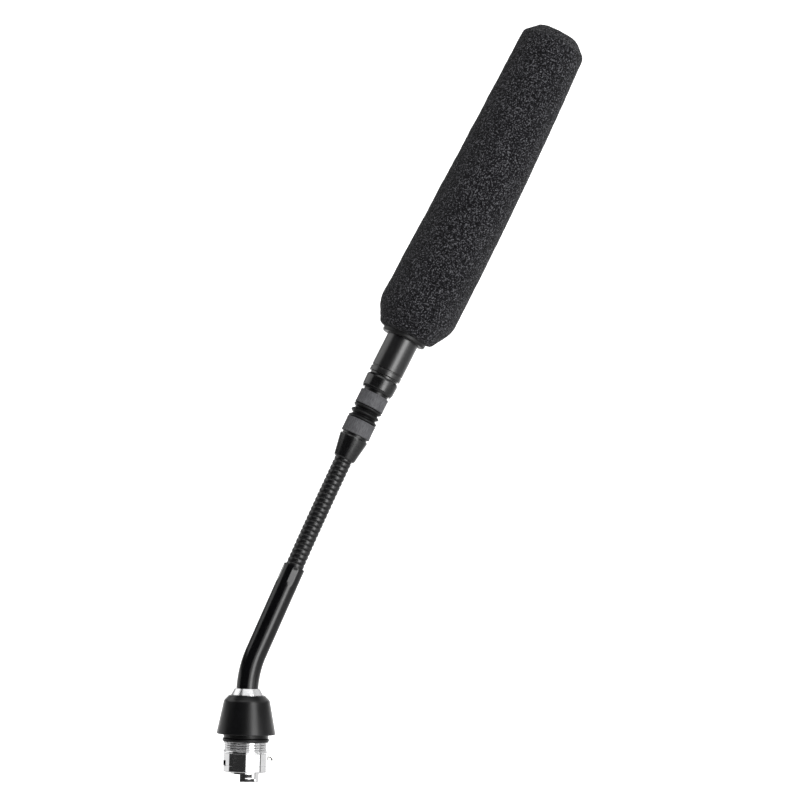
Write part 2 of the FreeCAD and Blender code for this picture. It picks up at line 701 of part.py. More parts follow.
def windscreen_ring():
    """Gloss ring that stiffens the windscreen's mouth and slides on the body tube."""
    low, high = RING
    bore = BODY_R + FIT
    return turned([
        (bore, low), (RING_R - 0.3, low), (RING_R, low + 0.3), (RING_R, high), (RING_SLEEVE_R, high),
        (RING_SLEEVE_R, RING_SLEEVE_END), (bore, RING_SLEEVE_END),
    ])


def foam_windscreen():
    """Tapered foam sleeve with a closed, rounded tip and a bevelled mouth."""
    bore = BODY_R + SOFT_GAP
    corner = FOAM_TIP - FOAM_TIP_ROUND
    flat_r = FOAM_TIP_R - FOAM_TIP_ROUND
    diagonal = FOAM_TIP_ROUND * math.sqrt(0.5)
    return turned([
        (RING_SLEEVE_R, RING[1]), (RING_R, RING[1]), (FOAM_BASE_R, FOAM_BASE), (FOAM_MAX_R, FOAM_MAX),
        (FOAM_TIP_R, corner), (flat_r + diagonal, corner + diagonal, flat_r, FOAM_TIP), (0, FOAM_TIP),
        (0, FOAM_BORE_END), (bore, FOAM_BORE_END), (bore, RING_SLEEVE_END), (RING_SLEEVE_R, RING_SLEEVE_END),
    ])


def windscreen():
    upper = head_axis()
    return {
        "windscreen_ring": upper.put(windscreen_ring()),
        "foam_windscreen": upper.put(foam_windscreen()),
    }


# ---- signal cable -------------------------------------------------------------------------------

def signal_cable():
    """Cable from the connector to the amplifier board, as straight runs joined by tangent arcs."""
    start = bend_end().moved(TUBE_STRAIGHT)
    lower = ferrule_axis()
    upper = head_axis()
    mean = (start.tilt + lower.tilt) / 2
    bend_reach = BEND_RADIUS * math.tan(math.radians(TUBE_TILT / 2))
    corners = [
        FreeCAD.Vector(0, 0, CABLE_BOTTOM_Z), FreeCAD.Vector(0, 0, BEND_START_Z + bend_reach),
        Axis(start.x, start.z, mean).point(-1.0), lower.point(2.0), lower.point(ISOLATOR_PIVOT),
        upper.point(BOARD_START - 0.5),
    ]
    reaches = [bend_reach, 1.0, 6.0, 6.0]
    edges = []
    last = corners[0]
    for before, corner, after, reach in zip(corners, corners[1:], corners[2:], reaches):
        into = (corner - before).normalize()
        out = (after - corner).normalize()
        enter = corner - into * reach
        leave = corner + out * reach
        turn = math.acos(max(-1.0, min(1.0, into.dot(out))))
        radius = reach / math.tan(turn / 2)
        middle = corner + (out - into).normalize() * (radius / math.cos(turn / 2) - radius)
        edges.append(Part.LineSegment(last, enter).toShape())
        edges.append(Part.Arc(enter, middle, leave).toShape())
        last = leave
    edges.append(Part.LineSegment(last, corners[-1]).toShape())
    path = Part.Wire(edges)
    outline = Part.Wire([Part.Circle(corners[0], Z_AXIS, CABLE_R).toShape()])
    cable = path.makePipeShell([outline], True, False)
    print(f"cable length {path.Length:.1f}")
    return {"signal_cable": cable}


def main():
    os.makedirs("parts", exist_ok=True)
    nodes = {}
    for group in (connector, locking_collar, tube_and_neck, isolator, microphone, windscreen, signal_cable):
        nodes.update(group())
    for name, shape in nodes.items():
        if not shape.isValid():
            print(f"not valid: {name}")
        shape.exportStep(f"parts/{name}.step")
    print(f"{len(nodes)} nodes")


main()
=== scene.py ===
"""Gooseneck podium microphone: the looks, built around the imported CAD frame. Metres."""

import json
import math

import bmesh
import bpy
import numpy as np
from mathutils import Matrix, Vector, noise

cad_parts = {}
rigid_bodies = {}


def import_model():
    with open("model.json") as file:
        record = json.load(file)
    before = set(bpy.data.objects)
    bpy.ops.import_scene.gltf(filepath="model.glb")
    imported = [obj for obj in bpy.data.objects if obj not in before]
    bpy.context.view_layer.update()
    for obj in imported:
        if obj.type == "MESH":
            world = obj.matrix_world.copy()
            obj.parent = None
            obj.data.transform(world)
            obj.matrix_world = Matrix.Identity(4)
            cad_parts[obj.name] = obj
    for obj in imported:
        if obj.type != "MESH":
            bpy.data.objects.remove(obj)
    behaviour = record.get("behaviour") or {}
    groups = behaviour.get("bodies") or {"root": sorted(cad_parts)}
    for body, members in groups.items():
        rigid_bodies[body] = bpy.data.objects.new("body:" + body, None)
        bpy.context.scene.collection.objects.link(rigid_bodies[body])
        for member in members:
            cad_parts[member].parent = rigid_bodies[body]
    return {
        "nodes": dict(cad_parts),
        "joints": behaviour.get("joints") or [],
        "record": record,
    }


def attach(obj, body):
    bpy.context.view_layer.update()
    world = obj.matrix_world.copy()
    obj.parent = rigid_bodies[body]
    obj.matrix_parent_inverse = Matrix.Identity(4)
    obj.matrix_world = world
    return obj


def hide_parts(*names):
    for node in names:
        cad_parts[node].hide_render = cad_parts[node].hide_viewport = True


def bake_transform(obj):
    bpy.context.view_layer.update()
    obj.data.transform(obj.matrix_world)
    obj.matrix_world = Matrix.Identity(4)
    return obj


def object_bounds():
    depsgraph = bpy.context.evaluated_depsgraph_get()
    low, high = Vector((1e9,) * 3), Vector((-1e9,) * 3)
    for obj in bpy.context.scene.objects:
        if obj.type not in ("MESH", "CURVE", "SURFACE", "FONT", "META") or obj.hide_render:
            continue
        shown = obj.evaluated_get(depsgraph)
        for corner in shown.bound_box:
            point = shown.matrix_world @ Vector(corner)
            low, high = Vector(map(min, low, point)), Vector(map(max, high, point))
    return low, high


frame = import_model()
cad_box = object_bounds()

MM = 0.001
NODES = frame["nodes"]
JOINTS = {joint["name"]: joint for joint in frame["joints"]}


# ---- places taken from the frame ----------------------------------------------------------------

class Axis:
    """A line in the frame with two directions across it. A piece made about it is built about local Z."""

    def __init__(self, origin, direction):
        self.origin = Vector(origin)
        self.up = Vector(direction).normalized()
        self.side = Vector((0, 1, 0)).cross(self.up).normalized()
        self.back = self.up.cross(self.side)

    def matrix(self):
        turn = Matrix((self.side, self.back, self.up)).transposed().to_4x4()
        return Matrix.Translation(self.origin) @ turn

    def measure(self, node):
        """(low, high, inner radius, outer radius) of a CAD node about this axis."""
        co = np.array([v.co for v in NODES[node].data.vertices]) - np.array(self.origin)
        along = co @ np.array(self.up)
        across = np.linalg.norm(co - along[:, None] * np.array(self.up), axis=1)
        return along.min(), along.max(), across.min(), across.max()


def neck_joints():
    """The neck's joints from the tube to the ferrule."""
    found = []
    for number in range(1, 7):
        found.append(JOINTS[f"neck_bend_{number}"])
        found.append(JOINTS[f"neck_sway_{number}"])
    return found


NECK_JOINTS = neck_joints()
NECK_BODIES = [NECK_JOINTS[0]["parent"]] + [joint["child"] for joint in NECK_JOINTS]
NECK_POINTS = [Vector(joint["pos_m"]) for joint in NECK_JOINTS]
LINK = (NECK_POINTS[1] - NECK_POINTS[0]).length
NECK_LENGTH = LINK * len(NECK_JOINTS)

CONNECTOR = Axis((0, 0, 0), (0, 0, 1))
TUBE_TOP = Axis(NECK_POINTS[0] - (NECK_POINTS[1] - NECK_POINTS[0]) / 2, NECK_POINTS[1] - NECK_POINTS[0])
NECK_TOP = NECK_POINTS[-1] + (NECK_POINTS[-1] - NECK_POINTS[-2]) / 2
FERRULE = Axis(NECK_TOP, NECK_POINTS[-1] - NECK_POINTS[-2])
HEAD = Axis(JOINTS["coupling_turn"]["pos_m"], JOINTS["windscreen_slide"]["axis"])
PIVOT = Vector(JOINTS["isolator_nod"]["pos_m"])

# ---- sizes of details ---------------------------------------------------------------------------

SEGMENTS = 144            # round a turned part
ARC_STEPS = 5             # along a rounded corner

THREAD_PITCH = 1.0 * MM
THREAD_DEPTH = 0.5 * MM
THREAD_STEPS = 14         # mesh rings in one pitch
THREAD_RIM = 0.35 * MM    # plain rim below the thread
O_RING_STEPS = 24         # round the section of the O-ring

SKIRT_BORE_IN = 0.95 * MM       # from the sleeve's outer radius
SKIRT_SHOULDER_IN = 2.75 * MM   # from the skirt's outer radius, and so is its top
SKIRT_SHOULDER_RISE = 13.95 * MM
SKIRT_TOP_IN = 4.75 * MM
SKIRT_MOUTH_DEPTH = 3.9 * MM

TONGUE_TURN = 12.0        # degrees from -Y towards +X
TONGUE_R = 6.3 * MM
TONGUE_STEPS = 12         # along a shade strip's arc
SHADE_STRIP_PROUD = 0.04 * MM

TUBE_R = 4.575 * MM
TUBE_BORE_R = 3.85 * MM
TUBE_LOW = -1.0 * MM
TUBE_STEP = 0.6 * MM
TUBE_LIP = ((0.5 * MM, 1.0), (0.12 * MM, 1.0), (0.0, 0.975))  # (distance from the end, share of radius)
TUBE_BEND_RADIUS = 42.0 * MM
CRIMP_LENGTH = 8.5 * MM
CRIMP_DEPTH = 0.2 * MM
CRIMP_RUN_IN = 1.6 * MM
CRIMP_RUN_OUT = 0.8 * MM
CRIMP_END_GAP = 0.4 * MM

NECK_R = 3.8 * MM
NECK_BORE_R = 1.75 * MM
NECK_PITCH = 2.11 * MM
NECK_STEPS = 16           # mesh rings in one pitch
NECK_SEGMENTS = 96
NECK_GROOVE = 0.5 * MM
NECK_SQUARENESS = 3.2     # 2 is a round turn, and more is flatter with a narrower groove

STEM_IN_TUBE = 8 * MM
STEM_IN_FERRULE = 5 * MM

RIB_PITCH = 2.5 * MM
RIB_DEPTH = 1.2 * MM
RIB_STEPS = 24            # mesh rings in one half

CABLE_R = 1.5 * MM
CABLE_SEGMENTS = 24
CABLE_BEND_REACH = 3.15 * MM  # of its bend at the isolator, on each side
CABLE_IN_HEAD = 7.0 * MM

FOAM_STEP = 0.45 * MM     # between mesh points on the foam
FOAM_SEGMENTS = 240
FOAM_CELL = 1.15 * MM
FOAM_BASE_R = 11.9 * MM
FOAM_BASE_RISE = 0.8 * MM
FOAM_MAX_R = 16.8 * MM
FOAM_MAX_RISE = 9.4 * MM
FOAM_TIP_R = 14.0 * MM
FOAM_TIP_CUT = 5.5 * MM
FOAM_TIP_DROP = 1.15 * MM  # below the CAD tip
FOAM_BULGE = 0.42 * MM     # of the long side past a straight line
FOAM_BOW = 0.7 * MM        # of the centreline towards its lower side
FOAM_SHIFT = 0.35 * MM     # of the whole cover to the same side, above its foot
FOAM_BORE_R = 7.2 * MM
FOAM_SLEEVE_R = 8.02 * MM  # round the ring's sleeve
FOAM_BORE_STOP = 11.7 * MM  # from the bore's end to the CAD tip
PORE_REACH = 0.55          # of a cell's middle, in cells
PORE_DEPTH = 0.42          # mm for each cell of reach
WAVE_SIZES = ((9, 0.16), (2.2, 0.1))  # (length, height) of the surface's drift, in mm


# ---- meshes -------------------------------------------------------------------------------------

def make_object(name, points, faces, matrix=None, sharp=35.0):
    """A smooth shaded mesh object with outward faces. Edges sharper than the angle stay crisp."""
    mesh = bpy.data.meshes.new(name)
    mesh.from_pydata([tuple(p) for p in points], [], faces)
    work = bmesh.new()
    work.from_mesh(mesh)
    bmesh.ops.recalc_face_normals(work, faces=work.faces)
    work.to_mesh(mesh)
    work.free()
    mesh.shade_smooth()
    mesh.set_sharp_from_angle(angle=math.radians(sharp))
    piece = bpy.data.objects.new(name, mesh)
    bpy.context.scene.collection.objects.link(piece)
    if matrix is not None:
        piece.matrix_world = matrix
    return piece


def rounded(corners):
    """Points of a closed section. A corner is (radius, height) or (radius, height, rounding)."""
    points = []
    count = len(corners)
    for k, corner in enumerate(corners):
        here = Vector(corner[:2])
        if len(corner) < 3 or corner[2] == 0:
            points.append(here)
            continue
        before = (Vector(corners[k - 1][:2]) - here).normalized()
        after = (Vector(corners[(k + 1) % count][:2]) - here).normalized()
        half = before.angle(after) / 2
        reach = corner[2] / math.tan(half)
        centre = here + (before + after).normalized() * (corner[2] / math.sin(half))
        start = here + before * reach - centre
        end = here + after * reach - centre
        for step in range(ARC_STEPS + 1):
            share = step / ARC_STEPS
            points.append(centre + start.lerp(end, share).normalized() * corner[2])
    return points


def grid_faces(rows, columns, close_rows):
    """Quads of a grid whose columns close on themselves, and whose rows do too if asked."""
    faces = []
    for i in range(rows if close_rows else rows - 1):
        low = i * columns
        high = (i + 1) % rows * columns
        for j in range(columns):
            k = (j + 1) % columns
            faces.append((low + j, low + k, high + k, high + j))
    return faces


def circle(segments=SEGMENTS):
    angle = np.arange(segments) * 2 * np.pi / segments
    return np.cos(angle), np.sin(angle)


def lathe(name, section, matrix=None):
    """A closed ring from (radius, height) pairs. A radius may be an array, with one for each segment."""
    cos, sin = circle()
    rings = [np.stack([r * cos, r * sin, np.full(SEGMENTS, z)], 1) for r, z in section]
    return make_object(name, np.concatenate(rings), grid_faces(len(section), SEGMENTS, True), matrix)


def turned(name, axis, corners):
    """A closed ring turned about an axis from a section that doesn't touch the axis."""
    return lathe(name, rounded(corners), axis.matrix())


def ring_section(inner, outer, low, high, rounding):
    """Corners of a plain ring with its outer edges rounded."""
    small = min(rounding, 0.1 * MM)
    return [(inner, low, small), (outer, low, rounding), (outer, high, rounding), (inner, high, small)]


def turned_like(name, node, axis, rounding=0.2 * MM):
    """A plain ring where a CAD node is, with rounded edges."""
    low, high, inner, outer = axis.measure(node)
    return turned(name, axis, ring_section(inner, outer, low, high, rounding))


def finish_piece(piece, body, material, slot, *nodes):
    """Gives a piece its finish and its body, and hides the CAD nodes that it stands for."""
    piece.data.materials.append(material)
    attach(piece, body)
    if nodes:
        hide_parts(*nodes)


def finish_bending_piece(piece, bodies, ends, material, slot, *nodes):
    """Gives a piece that runs between two bodies its finish, bakes its placement into its points and hides
    the CAD nodes that it stands for.
    """
    piece.data.materials.append(material)
    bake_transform(piece)
    if nodes:
        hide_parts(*nodes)


# ---- materials ----------------------------------------------------------------------------------

class Shader:
    """A Principled material with short calls for the nodes that feed it."""

    def __init__(self, name, roughness=0.5, metallic=0.0):
        self.material = bpy.data.materials.new(name)
        self.material.use_nodes = True
        self.tree = self.material.node_tree
        self.surface = self.tree.nodes["Principled BSDF"]
        self.surface.inputs["Roughness"].default_value = roughness
        self.surface.inputs["Metallic"].default_value = metallic
        self.place = self.add("ShaderNodeTexCoord").outputs["Object"]

    def add(self, kind):
        return self.tree.nodes.new(kind)

    def link(self, source, target):
        self.tree.links.new(source, target)

    def stretched(self, x, y, z):
        """Object coordinates scaled along each direction."""
        mapping = self.add("ShaderNodeMapping")
        mapping.inputs["Scale"].default_value = (x, y, z)
        self.link(self.place, mapping.inputs["Vector"])
        return mapping.outputs["Vector"]

    def noise(self, scale, detail=3.0, place=None, roughness=0.5):
        node = self.add("ShaderNodeTexNoise")
        node.inputs["Scale"].default_value = scale
        node.inputs["Detail"].default_value = detail
        node.inputs["Roughness"].default_value = roughness
        self.link(place or self.place, node.inputs["Vector"])
        return node.outputs["Fac"]

    def cells(self, scale, place):
        """Distance to the nearest of scattered points."""
        node = self.add("ShaderNodeTexVoronoi")
        node.inputs["Scale"].default_value = scale
        self.link(place, node.inputs["Vector"])
        return node.outputs["Distance"]

    def ramp(self, source, *stops):
        """Maps a value to colours or greys; a stop is (position, grey) or (position, (r, g, b))."""
        node = self.add("ShaderNodeValToRGB")
        ramp = node.color_ramp
        while len(ramp.elements) < len(stops):
            ramp.elements.new(0.5)
        for element, (position, value) in zip(ramp.elements, stops):
            element.position = position
            grey = not hasattr(value, "__len__")
            element.color = (value, value, value, 1) if grey else (*value, 1)
        self.link(source, node.inputs["Fac"])
        return node.outputs["Color"]

    def math(self, operation, first, second):
        node = self.add("ShaderNodeMath")
        node.operation = operation
        for socket, value in zip(node.inputs, (first, second)):
            if isinstance(value, (int, float)):
                socket.default_value = value
            else:
                self.link(value, socket)
        return node.outputs["Value"]

    def mixed(self, first, first_share, second, second_share):
        """The sum of a share of each value."""
        first_part = self.math("MULTIPLY", first, first_share)
        return self.math("ADD", first_part, self.math("MULTIPLY", second, second_share))

    def bump(self, height, distance, strength=1.0, below=None):
        node = self.add("ShaderNodeBump")
        node.inputs["Distance"].default_value = distance
        node.inputs["Strength"].default_value = strength
        self.link(height, node.inputs["Height"])
        if below:
            self.link(below, node.inputs["Normal"])
        return node.outputs["Normal"]

    def use(self, **sockets):
        """Links outputs to the surface, with the socket's name written with underscores."""
        for name, source in sockets.items():
            self.link(source, self.surface.inputs[name.replace("_", " ")])
        return self.material


def black_paint(name, dark, light, smooth, rough, shine=0.5):
    """Black lacquer: a faint drift of tone, uneven gloss and very slight orange peel."""
    shader = Shader(name)
    shader.surface.inputs["Specular IOR Level"].default_value = shine
    tone = shader.ramp(shader.noise(180, 4), (0.3, dark), (0.7, light))
    gloss = shader.ramp(shader.noise(420, 5), (0.25, smooth), (0.75, rough))
    peel = shader.bump(shader.noise(1500, 2), 0.004 * MM, 0.5)
    return shader.use(Base_Color=tone, Roughness=gloss, Normal=peel)


def black_anodising():
    """Turned and anodised aluminium: fine lathe lines round the axis under a near black skin."""
    shader = Shader("anodised_black")
    lines = shader.noise(1.0, 4, shader.stretched(60, 60, 9000))
    shader.surface.inputs["Specular IOR Level"].default_value = 1.0
    tone = shader.ramp(shader.noise(250, 4), (0.3, (0.003, 0.003, 0.0035)), (0.7, (0.006, 0.006, 0.0068)))
    gloss = shader.ramp(lines, (0.3, 0.28), (0.7, 0.34))
    return shader.use(Base_Color=tone, Roughness=gloss, Normal=shader.bump(lines, 0.002 * MM, 0.25))


def satin_skirt():
    """Fine bead-blasted black, softer than the tube's lacquer."""
    shader = Shader("skirt_satin_black")
    grain = shader.noise(3500, 3)
    tone = shader.ramp(shader.noise(160, 4), (0.3, (0.002, 0.002, 0.0025)), (0.7, (0.004, 0.004, 0.0048)))
    shader.surface.inputs["Specular IOR Level"].default_value = 0.5
    gloss = shader.ramp(shader.noise(600, 5), (0.25, 0.3), (0.75, 0.36))
    return shader.use(Base_Color=tone, Roughness=gloss, Normal=shader.bump(grain, 0.008 * MM, 0.5))


def nickel(name, smooth, worn):
    """Plated metal with cloudy reflections and faint turning lines."""
    shader = Shader(name, metallic=1.0)
    clouds = shader.noise(240, 5)
    lines = shader.noise(1.0, 3, shader.stretched(40, 40, 6000))
    tone = shader.ramp(clouds, (0.3, (0.78, 0.78, 0.785)), (0.7, (0.88, 0.88, 0.885)))
    gloss = shader.ramp(shader.noise(500, 4), (0.3, smooth), (0.75, worn))
    ripple = shader.bump(shader.noise(260, 2), 0.02 * MM, 0.3)
    return shader.use(Base_Color=tone, Roughness=gloss, Normal=shader.bump(lines, 0.002 * MM, 0.3, ripple))


def spring_metal():
    """Dull dark spring steel."""
    shader = Shader("spring_metal", metallic=1.0)
    tone = shader.ramp(shader.noise(900, 4), (0.3, (0.035, 0.033, 0.026)), (0.7, (0.1, 0.095, 0.075)))
    gloss = shader.ramp(shader.noise(1500, 3), (0.3, 0.28), (0.7, 0.45))
    return shader.use(Base_Color=tone, Roughness=gloss)


def wound_wire():
    """Black enamel on the neck's turns, drier and a little lighter where it has rubbed."""
    shader = Shader("neck_enamel")
    shader.surface.inputs["Specular IOR Level"].default_value = 0.7
    tone = shader.ramp(shader.noise(700, 5), (0.3, (0.0015, 0.0015, 0.002)), (0.72, (0.005, 0.005, 0.006)))
    gloss = shader.ramp(shader.noise(1100, 4), (0.3, 0.27), (0.7, 0.36))
    grain = shader.bump(shader.noise(2500, 3), 0.01 * MM, 0.5)
    return shader.use(Base_Color=tone, Roughness=gloss, Normal=grain)


def band_rubber():
    """Mid grey moulded rubber with short streaks along the axis and dusty speckle."""
    shader = Shader("isolator_rubber")
    streaks = shader.noise(1.0, 4, shader.stretched(2600, 2600, 500))
    speckle = shader.noise(3800, 3)
    mixed = shader.mixed(streaks, 0.6, speckle, 0.4)
    tone = shader.ramp(mixed, (0.32, (0.05, 0.05, 0.055)), (0.68, (0.18, 0.18, 0.19)))
    gloss = shader.ramp(speckle, (0.3, 0.55), (0.7, 0.75))
    return shader.use(Base_Color=tone, Roughness=gloss, Normal=shader.bump(mixed, 0.05 * MM, 0.6))


def seal_rubber():
    """Smooth black rubber with uneven gloss."""
    shader = Shader("seal_rubber")
    tone = shader.ramp(shader.noise(900, 4), (0.3, (0.0015, 0.0015, 0.0018)), (0.7, (0.004, 0.004, 0.0045)))
    gloss = shader.ramp(shader.noise(1500, 4), (0.3, 0.32), (0.7, 0.5))
    grain = shader.bump(shader.noise(2600, 2), 0.01 * MM, 0.4)
    return shader.use(Base_Color=tone, Roughness=gloss, Normal=grain)


def foam_cells():
    """Open-cell foam: painted shade darkens the pores and painted highlights lighten the specks of strut,
    with slow dusty drift.
    """
    shader = Shader("windscreen_foam", roughness=0.9)
    shader.surface.inputs["Specular IOR Level"].default_value = 0.15
    shader.surface.inputs["Sheen Weight"].default_value = 0.09
    shader.surface.inputs["Sheen Roughness"].default_value = 0.5
    warp = shader.noise(1500, 3)
    shifted = shader.add("ShaderNodeVectorMath")
    shifted.operation = "MULTIPLY_ADD"
    shader.link(warp, shifted.inputs[0])
    shifted.inputs[1].default_value = (0.0006, 0.0006, 0.0006)
    shader.link(shader.place, shifted.inputs[2])
    # Painted shade: the colour darkens towards each cell's middle, where the pore's shade falls.
    pores = shader.cells(1650, shifted.outputs["Vector"])
    specks = shader.noise(1650, 2, roughness=0.65)
    # Painted highlight: the lighter specks stand for struts catching light.
    grain = shader.ramp(specks, (0.4, 0.0), (0.52, 0.25), (0.62, 1.0))
    both = shader.mixed(pores, 0.4, grain, 0.6)
    drift = shader.math("MULTIPLY", shader.noise(140, 4), 0.1)
    tone = shader.ramp(
        shader.math("ADD", both, drift),
        (0.24, (0.001, 0.001, 0.0014)), (0.5, (0.014, 0.014, 0.017)), (0.95, (0.16, 0.16, 0.172)),
    )
    coarse = shader.bump(pores, 0.3 * MM, 0.8)
    return shader.use(Base_Color=tone, Normal=shader.bump(specks, 0.25 * MM, 0.8, coarse))


def plain_surface(name, color, metallic, roughness):
    """For pieces inside: the slot's colour with slight drift and uneven gloss."""
    shader = Shader(name, metallic=metallic)
    low = tuple(c * 0.8 for c in color)
    high = tuple(min(1.0, c * 1.15) for c in color)
    tone = shader.ramp(shader.noise(600, 4), (0.3, low), (0.7, high))
    gloss = shader.ramp(shader.noise(1200, 3), (0.3, roughness * 0.85), (0.7, min(1.0, roughness * 1.15)))
    return shader.use(Base_Color=tone, Roughness=gloss)


TUBE_PAINT = black_paint("tube_lacquer", (0.0015, 0.0015, 0.002), (0.003, 0.003, 0.0038), 0.16, 0.24, 0.55)
GLOSS = black_paint("gloss_aluminium", (0.0015, 0.0015, 0.002), (0.004, 0.004, 0.0046), 0.22, 0.3, 0.8)
PLASTIC = black_paint("gloss_plastic", (0.0015, 0.0015, 0.0018), (0.004, 0.004, 0.0045), 0.26, 0.38, 0.3)
MATT_PLASTIC = black_paint("matt_plastic", (0.002, 0.002, 0.0022), (0.005, 0.005, 0.0055), 0.42, 0.5, 0.5)
ANODISED = black_anodising()
SKIRT = satin_skirt()
NICKEL = nickel("nickel_plating", 0.05, 0.11)
NUT_NICKEL = nickel("nut_nickel", 0.2, 0.28)
SPRING = spring_metal()
WIRE = wound_wire()
BAND = band_rubber()
SEAL = seal_rubber()
FOAM = foam_cells()

SLOT_MATERIALS = {
    "gloss_black_tube": TUBE_PAINT,
    "gloss_black_aluminium": ANODISED,
    "satin_black_skirt": SKIRT,
    "black_wound_wire": WIRE,
    "nickel_plate": NICKEL,
    "spring_steel": SPRING,
    "isolator_rubber": BAND,
    "seal_rubber": SEAL,
    "black_plastic": PLASTIC,
    "foam": FOAM,
}


def slot_material(record_slot):
    """The material of a record slot, made from the record's colour if no visible piece needed one."""
    name = record_slot["slot"]
    if name not in SLOT_MATERIALS:
        metal = 1.0 if record_slot["class"] == "brass" else 0.0
        rough = 0.35 if record_slot["finish"] == "satin" else 0.75
        SLOT_MATERIALS[name] = plain_surface(name, record_slot["base_color"][:3], metal, rough)
    return SLOT_MATERIALS[name]


def slot_material_named(name):
    return slot_material(next(entry for entry in frame["record"]["materials"] if entry["slot"] == name))


def finish_frame():
    """Gives every CAD node the procedural material of its slot."""
    slots = {entry["slot"]: slot_material(entry) for entry in frame["record"]["materials"]}
    for entry in frame["record"]["subparts"]:
        materials = NODES[entry["node"]].data.materials
        materials.clear()
        materials.append(slots[entry["material_slot"]])


# ---- connector ----------------------------------------------------------------------------------

def thread_rows(start, end, outer):
    """(radii, height) of the helical thread, which fades out at both ends."""
    turn = np.arange(SEGMENTS) / SEGMENTS
    count = int(round((end - start) / THREAD_PITCH * THREAD_STEPS))
    rows = []
    for i in range(count + 1):
        z = start + (end - start) * i / count
        phase = (z / THREAD_PITCH - turn) % 1.0
        depth = np.clip(1.25 - 2.5 * np.abs(phase - 0.5), 0, 1) * THREAD_DEPTH
        fade = min(1.0, (z - start) / (0.6 * THREAD_PITCH), (end - z) / (0.3 * THREAD_PITCH))
        rows.append((outer - depth * max(fade, 0.0), z))
    return rows


def make_thread():
    """The sleeve with its true helical thread, closed inside and with a seat for the O-ring."""
    low, high, inner, outer = CONNECTOR.measure("threaded_sleeve")
    ring_low, ring_high, seat, _ = CONNECTOR.measure("sleeve_o_ring")
    upper = CONNECTOR.measure("sleeve_washer")[2]
    rim_low = low + 0.1 * MM
    rim_high = low + THREAD_RIM - 0.05 * MM
    section = [(inner, low), (outer - 0.12 * MM, low), (outer, rim_low), (outer, rim_high)]
    section += thread_rows(low + THREAD_RIM, ring_low, outer)
    section += [(seat, ring_low), (seat, ring_high), (upper, ring_high), (upper, high), (inner, high)]
    sleeve = lathe("sleeve_with_thread", section)
    finish_piece(sleeve, "collar", NICKEL, "nickel_plate", "threaded_sleeve")


def make_collar():
    """Skirt, washer and O-ring."""
    low, high, inner, outer = CONNECTOR.measure("sleeve_o_ring")
    middle = (inner + outer) / 2
    thickness = (outer - inner) / 2
    section = []
    for step in range(O_RING_STEPS):
        angle = 2 * math.pi * step / O_RING_STEPS
        height = (low + high) / 2 + thickness * math.sin(angle)
        section.append((middle + thickness * math.cos(angle), height))
    ring = lathe("sealing_ring", section)
    finish_piece(ring, "collar", SEAL, "seal_rubber", "sleeve_o_ring")

    washer = turned_like("seat_washer", "sleeve_washer", CONNECTOR, 0.15 * MM)
    finish_piece(washer, "collar", PLASTIC, "black_plastic", "sleeve_washer")

    low, high, _, outer = CONNECTOR.measure("skirt_collar")
    bore = CONNECTOR.measure("threaded_sleeve")[3] - SKIRT_BORE_IN
    mouth = CONNECTOR.measure("collar_nut")[3] - 0.6 * MM
    mouth_low = high - SKIRT_MOUTH_DEPTH
    seat_top, seat_r = CONNECTOR.measure("sleeve_washer")[1::2]
    seat_r += 0.05 * MM
    skirt = turned("skirt", CONNECTOR, [
        (bore, seat_top), (seat_r, seat_top), (seat_r, low), (outer, low, 0.3 * MM),
        (outer - SKIRT_SHOULDER_IN, low + SKIRT_SHOULDER_RISE, 2.2 * MM),
        (outer - SKIRT_TOP_IN, high, 0.5 * MM),
        (mouth, high, 0.2 * MM), (mouth, mouth_low), (bore, mouth_low),
    ])
    finish_piece(skirt, "collar", SKIRT, "satin_black_skirt", "skirt_collar")


def tongue_shade_strip(name, start, end, inner, outer, low, high):
    """A black strip of painted shade in the keyed tongue, standing for the dark inside a recess, between
    two angles measured from its middle.
    """
    layer = []
    for radius, order in ((outer, range(TONGUE_STEPS + 1)), (inner, range(TONGUE_STEPS, -1, -1))):
        for i in order:
            angle = math.radians(start + (end - start) * i / TONGUE_STEPS)
            layer.append((radius, angle + math.radians(TONGUE_TURN)))
    points = [(r * math.sin(a), -r * math.cos(a), z) for z in (low, high) for r, a in layer]
    count = len(layer)
    faces = [(k, (k + 1) % count, (k + 1) % count + count, k + count) for k in range(count)]
    for k in range(TONGUE_STEPS):
        quad = (k, k + 1, count - 2 - k, count - 1 - k)
        faces.append(quad)
        faces.append(tuple(corner + count for corner in quad))
    strip = make_object(name, points, faces)
    finish_piece(strip, "base", SEAL, "seal_rubber")


def make_tongue_shade_strips():
    """Painted shade: black strips over the tongue's window and the slit below it, each just proud of its
    face, standing for the dark inside them.
    """
    low = CONNECTOR.measure("keyed_nose")[0]
    proud = TONGUE_R + SHADE_STRIP_PROUD
    window = low + 1.72 * MM
    # Painted shade: black strips where the window and the slit look dark.
    tongue_shade_strip("window_painted_shade", -30, 4, TONGUE_R - 0.86 * MM, proud, window, window + 1.5 * MM)
    slit = low + 0.2 * MM
    tongue_shade_strip("slit_painted_shade", -30, 16, TONGUE_R - 0.48 * MM, proud, slit, slit + 1.15 * MM)


def make_nut():
    """Conical nut over the skirt, with a fine lip at its top."""
    low, high, inner, outer = CONNECTOR.measure("collar_nut")
    base = CONNECTOR.measure("skirt_collar")[1] + 0.1 * MM
    stem = CONNECTOR.measure("tube_anchor_bush")[3]
    nut = turned("tube_nut", CONNECTOR, [
        (inner, low), (stem, low, 0.1 * MM), (stem, base), (outer, base, 0.12 * MM),
        (outer - 1.45 * MM, high - 0.25 * MM, 0.25 * MM), (outer - 1.6 * MM, high, 0.08 * MM),
        (inner, high, 0.1 * MM),
    ])
    finish_piece(nut, "base", NUT_NICKEL, "nickel_plate", "collar_nut")


# ---- tube ---------------------------------------------------------------------------------------

